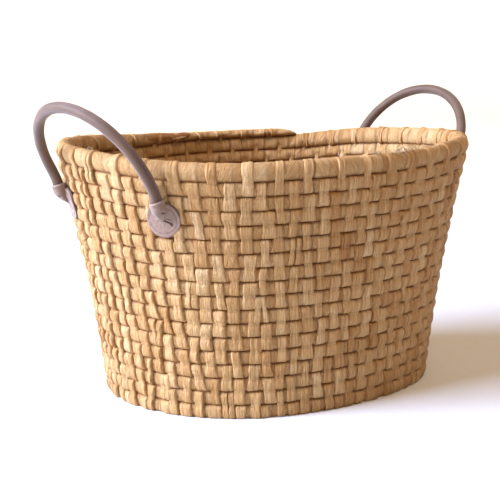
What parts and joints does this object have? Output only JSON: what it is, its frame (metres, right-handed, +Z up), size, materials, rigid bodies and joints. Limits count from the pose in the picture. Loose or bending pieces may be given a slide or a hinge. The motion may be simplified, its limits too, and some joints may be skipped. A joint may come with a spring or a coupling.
{
  "type": "coiled basket with leather handles",
  "caption": "Oval flared basket coiled from palm leaf, with a rolled leather handle arched over each end on round stitched tabs.",
  "frame": {"origin": "centre of the flat underside, on the table", "axes": "+X along the long axis towards the right handle, +Y to the back, +Z up"},
  "size_m": [0.5294, 0.334, 0.2998],
  "materials": {
    "palm_leaf": "dry fibrous leaf",
    "leather": "matt, fine grain",
    "lining_leather": "raw edge",
    "thread": "waxed thread",
    "rope": "twisted fibre"
  },
  "bodies": {
    "basket": {"base_core": "palm_leaf", "base_coil_1": "palm_leaf", "base_coil_2": "palm_leaf", "base_coil_3": "palm_leaf", "base_coil_4": "palm_leaf", "base_coil_5": "palm_leaf", "base_coil_6": "palm_leaf", "base_coil_7": "palm_leaf", "base_coil_8": "palm_leaf", "base_coil_9": "palm_leaf", "wall_coil_1": "palm_leaf", "wall_coil_2": "palm_leaf", "wall_coil_3": "palm_leaf", "wall_coil_4": "palm_leaf", "wall_coil_5": "palm_leaf", "wall_coil_6": "palm_leaf", "wall_coil_7": "palm_leaf", "wall_coil_8": "palm_leaf", "wall_coil_9": "palm_leaf", "wall_coil_10": "palm_leaf", "wall_coil_11": "palm_leaf", "wall_coil_12": "palm_leaf", "wall_coil_13": "palm_leaf", "wall_coil_14": "palm_leaf", "wall_coil_15": "palm_leaf", "wall_coil_16": "palm_leaf", "wall_coil_17": "palm_leaf", "rim_coil": "palm_leaf", "left_front_tab_backing": "lining_leather", "left_front_tab_cover": "leather", "left_front_tab_stitching": "thread", "left_front_tube_end": "leather", "left_back_tab_backing": "lining_leather", "left_back_tab_cover": "leather", "left_back_tab_stitching": "thread", "left_back_tube_end": "leather", "right_front_tab_backing": "lining_leather", "right_front_tab_cover": "leather", "right_front_tab_stitching": "thread", "right_front_tube_end": "leather", "right_back_tab_backing": "lining_leather", "right_back_tab_cover": "leather", "right_back_tab_stitching": "thread", "right_back_tube_end": "leather"},
    "left_handle": {"left_handle_cover": "leather", "left_handle_rope": "rope", "left_handle_thread": "thread"},
    "right_handle": {"right_handle_cover": "leather", "right_handle_rope": "rope", "right_handle_thread": "thread"}
  },
  "joints": [
    {"name": "left_handle_lean", "type": "hinge", "parent": "basket", "child": "left_handle", "pos_m": [-0.21302, -0.019, 0.21858], "axis": [0.1304, -0.9915, 0], "range_deg": [-10, 72]},
    {"name": "right_handle_lean", "type": "hinge", "parent": "basket", "child": "right_handle", "pos_m": [0.21302, 0.019, 0.21858], "axis": [-0.1304, 0.9915, 0], "range_deg": [-10, 72]}
  ]
}
